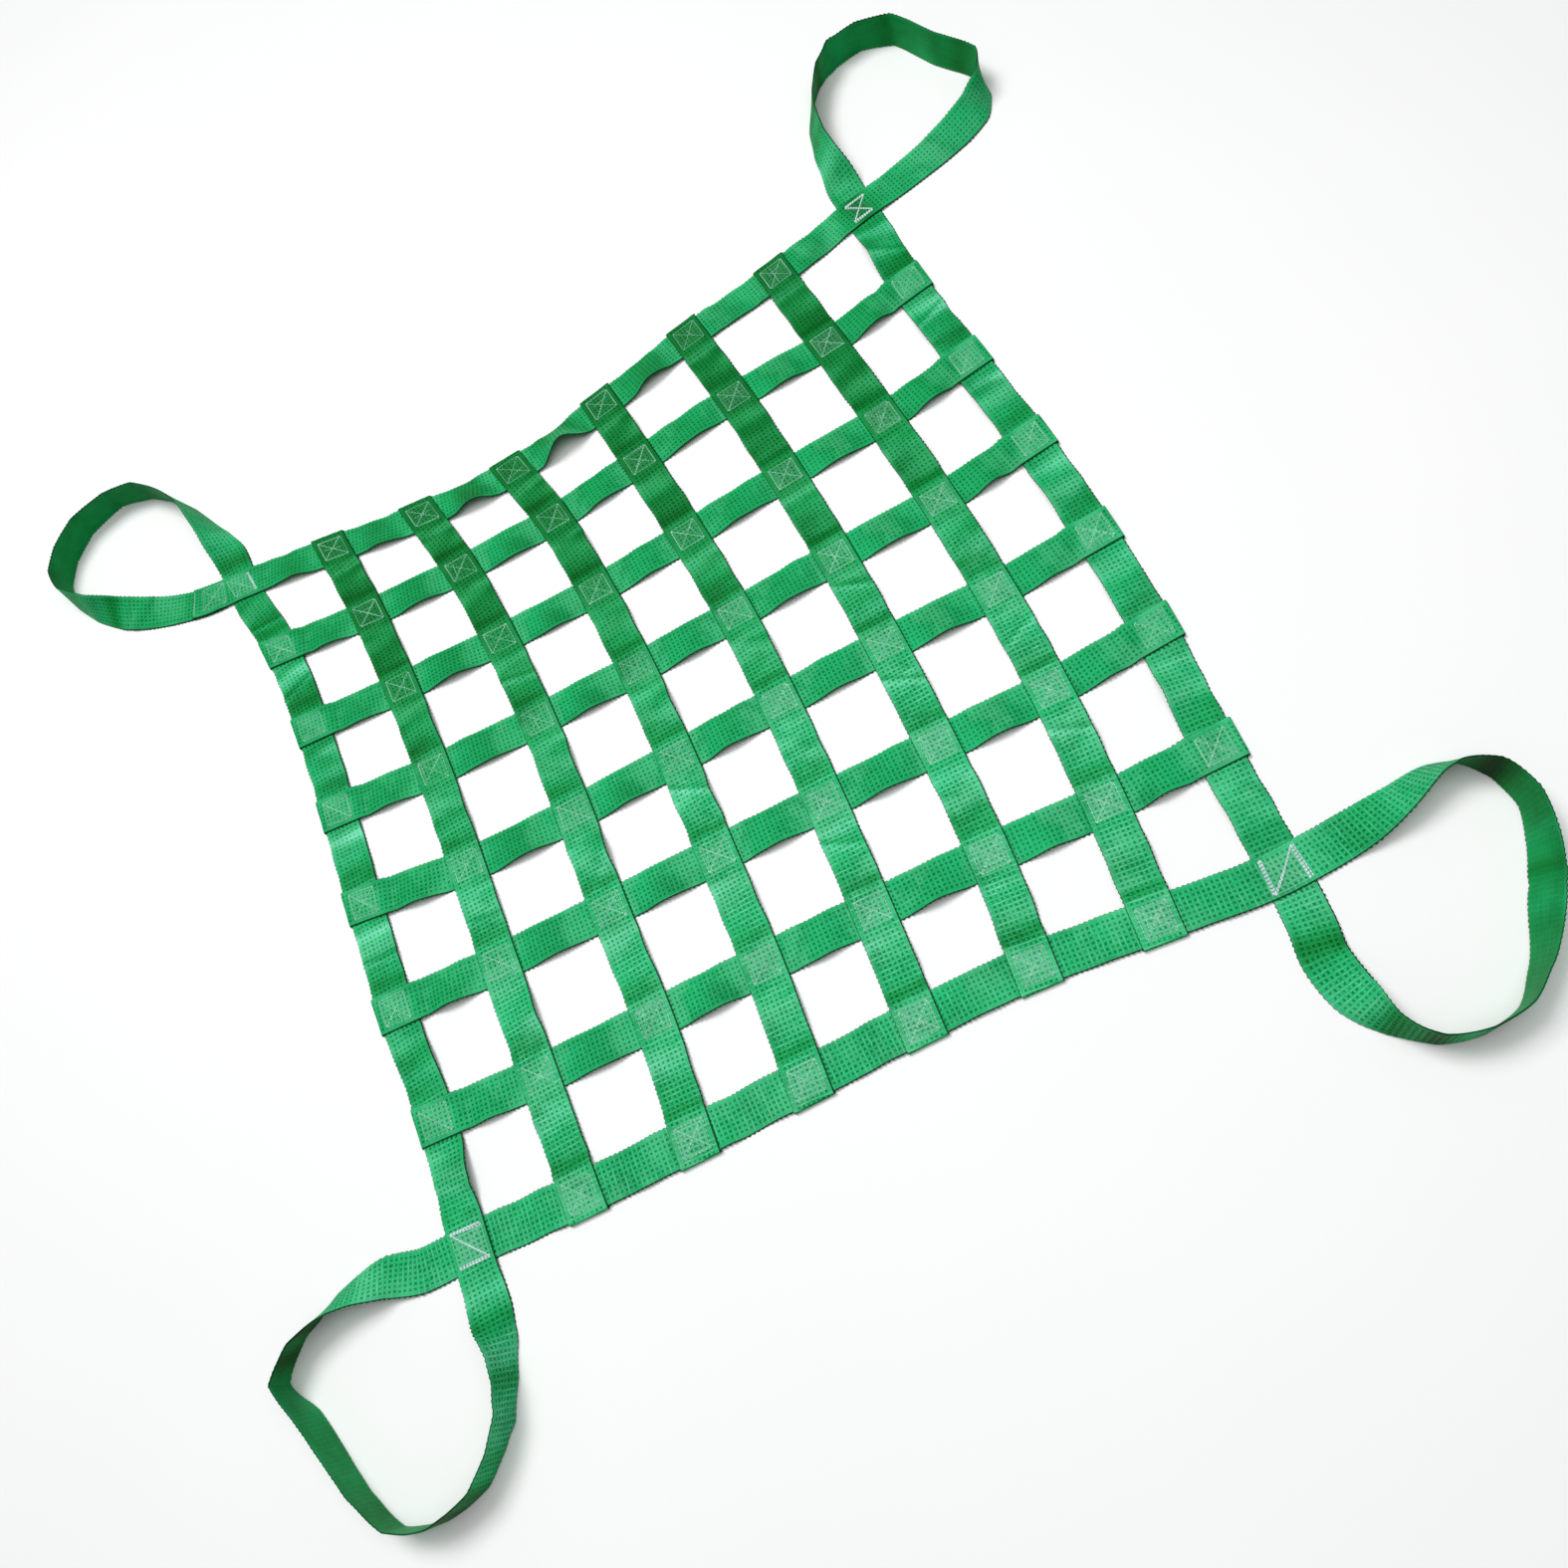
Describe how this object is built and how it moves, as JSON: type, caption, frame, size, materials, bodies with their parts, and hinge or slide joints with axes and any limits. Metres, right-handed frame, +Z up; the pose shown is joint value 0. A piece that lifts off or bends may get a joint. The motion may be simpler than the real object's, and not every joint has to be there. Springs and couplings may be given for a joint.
{
  "type": "cargo net",
  "caption": "Square cargo net of flat woven webbing, laid out flat: straps sewn across each other in an open mesh, folded round a border strap that stands up in an open eye at each corner",
  "frame": {"origin": "middle of the footprint of the laid-out net with its eyes, on the floor", "axes": "+Z up from the floor, +X along the row straps towards the east side, +Y along the column straps towards the north side; the border's sewn lap is beside the north-west eye"},
  "size_m": [1.5606, 1.5975, 0.0505],
  "materials": {
    "border_webbing": "woven polyester webbing, low sheen",
    "row_webbing": "woven polyester webbing, low sheen",
    "column_webbing": "woven polyester webbing, low sheen",
    "thread": "thick pale sewing thread, satin"
  },
  "bodies": {
    "root": {"border_strap": "border_webbing", "row_strap_1": "row_webbing", "row_strap_2": "row_webbing", "row_strap_3": "row_webbing", "row_strap_4": "row_webbing", "row_strap_5": "row_webbing", "row_strap_6": "row_webbing", "column_strap_1": "column_webbing", "column_strap_2": "column_webbing", "column_strap_3": "column_webbing", "column_strap_4": "column_webbing", "column_strap_5": "column_webbing", "column_strap_6": "column_webbing"}
  },
  "joints": []
}
